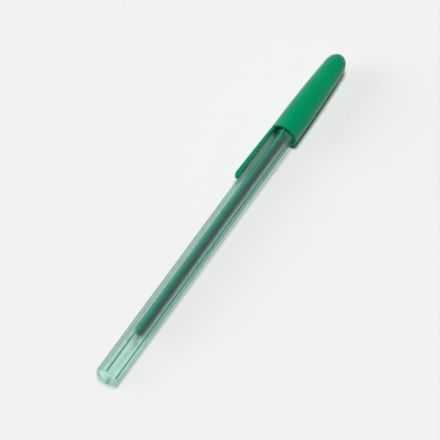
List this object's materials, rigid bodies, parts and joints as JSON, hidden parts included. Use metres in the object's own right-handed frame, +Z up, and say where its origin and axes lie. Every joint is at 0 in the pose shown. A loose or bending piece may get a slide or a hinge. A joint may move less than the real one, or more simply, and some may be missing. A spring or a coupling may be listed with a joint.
{
  "type": "stick ballpoint pen",
  "caption": "Slim capped ballpoint pen: frosted see-through striped barrel with the ink tube showing, and a green push-on cap whose mouth carries a pocket clip.",
  "frame": {"origin": "middle of the flat at the pen's tail end, on the pen's axis", "axes": "+X along the pen towards the cap's tip, +Z up as the pen lies on a table, with the clip 8 degrees above level on the +Y side"},
  "size_m": [0.1502, 0.0103, 0.0096],
  "materials": {
    "cap_plastic": "moulded green plastic with a soft sheen",
    "barrel_plastic": "frosted, see-through, pale mint plastic",
    "stripe_plastic": "green plastic run in with the barrel",
    "plug_plastic": "frosted, see-through, pale mint plastic",
    "nose_plastic": "moulded green plastic",
    "tube_plastic": "clear tube with a milky tint",
    "ink": "dark green ink paste",
    "point_metal": "turned, bright",
    "ball_metal": "ground, polished"
  },
  "bodies": {
    "pen": {"barrel": "barrel_plastic", "barrel_stripes": "stripe_plastic", "tail_plug": "plug_plastic", "nose_cone": "nose_plastic", "refill_tube": "tube_plastic", "ink_column": "ink", "writing_point": "point_metal"},
    "cap": {"cap": "cap_plastic"},
    "ball": {"ball": "ball_metal"}
  },
  "joints": [
    {"name": "cap_pull", "type": "slide", "parent": "pen", "child": "cap", "axis": [1, 0, 0], "range_m": [0, 0.062]},
    {"name": "ball_roll", "type": "hinge", "parent": "pen", "child": "ball", "pos_m": [0.14366, 0, 0], "axis": [0, 1, 0], "continuous": true}
  ]
}
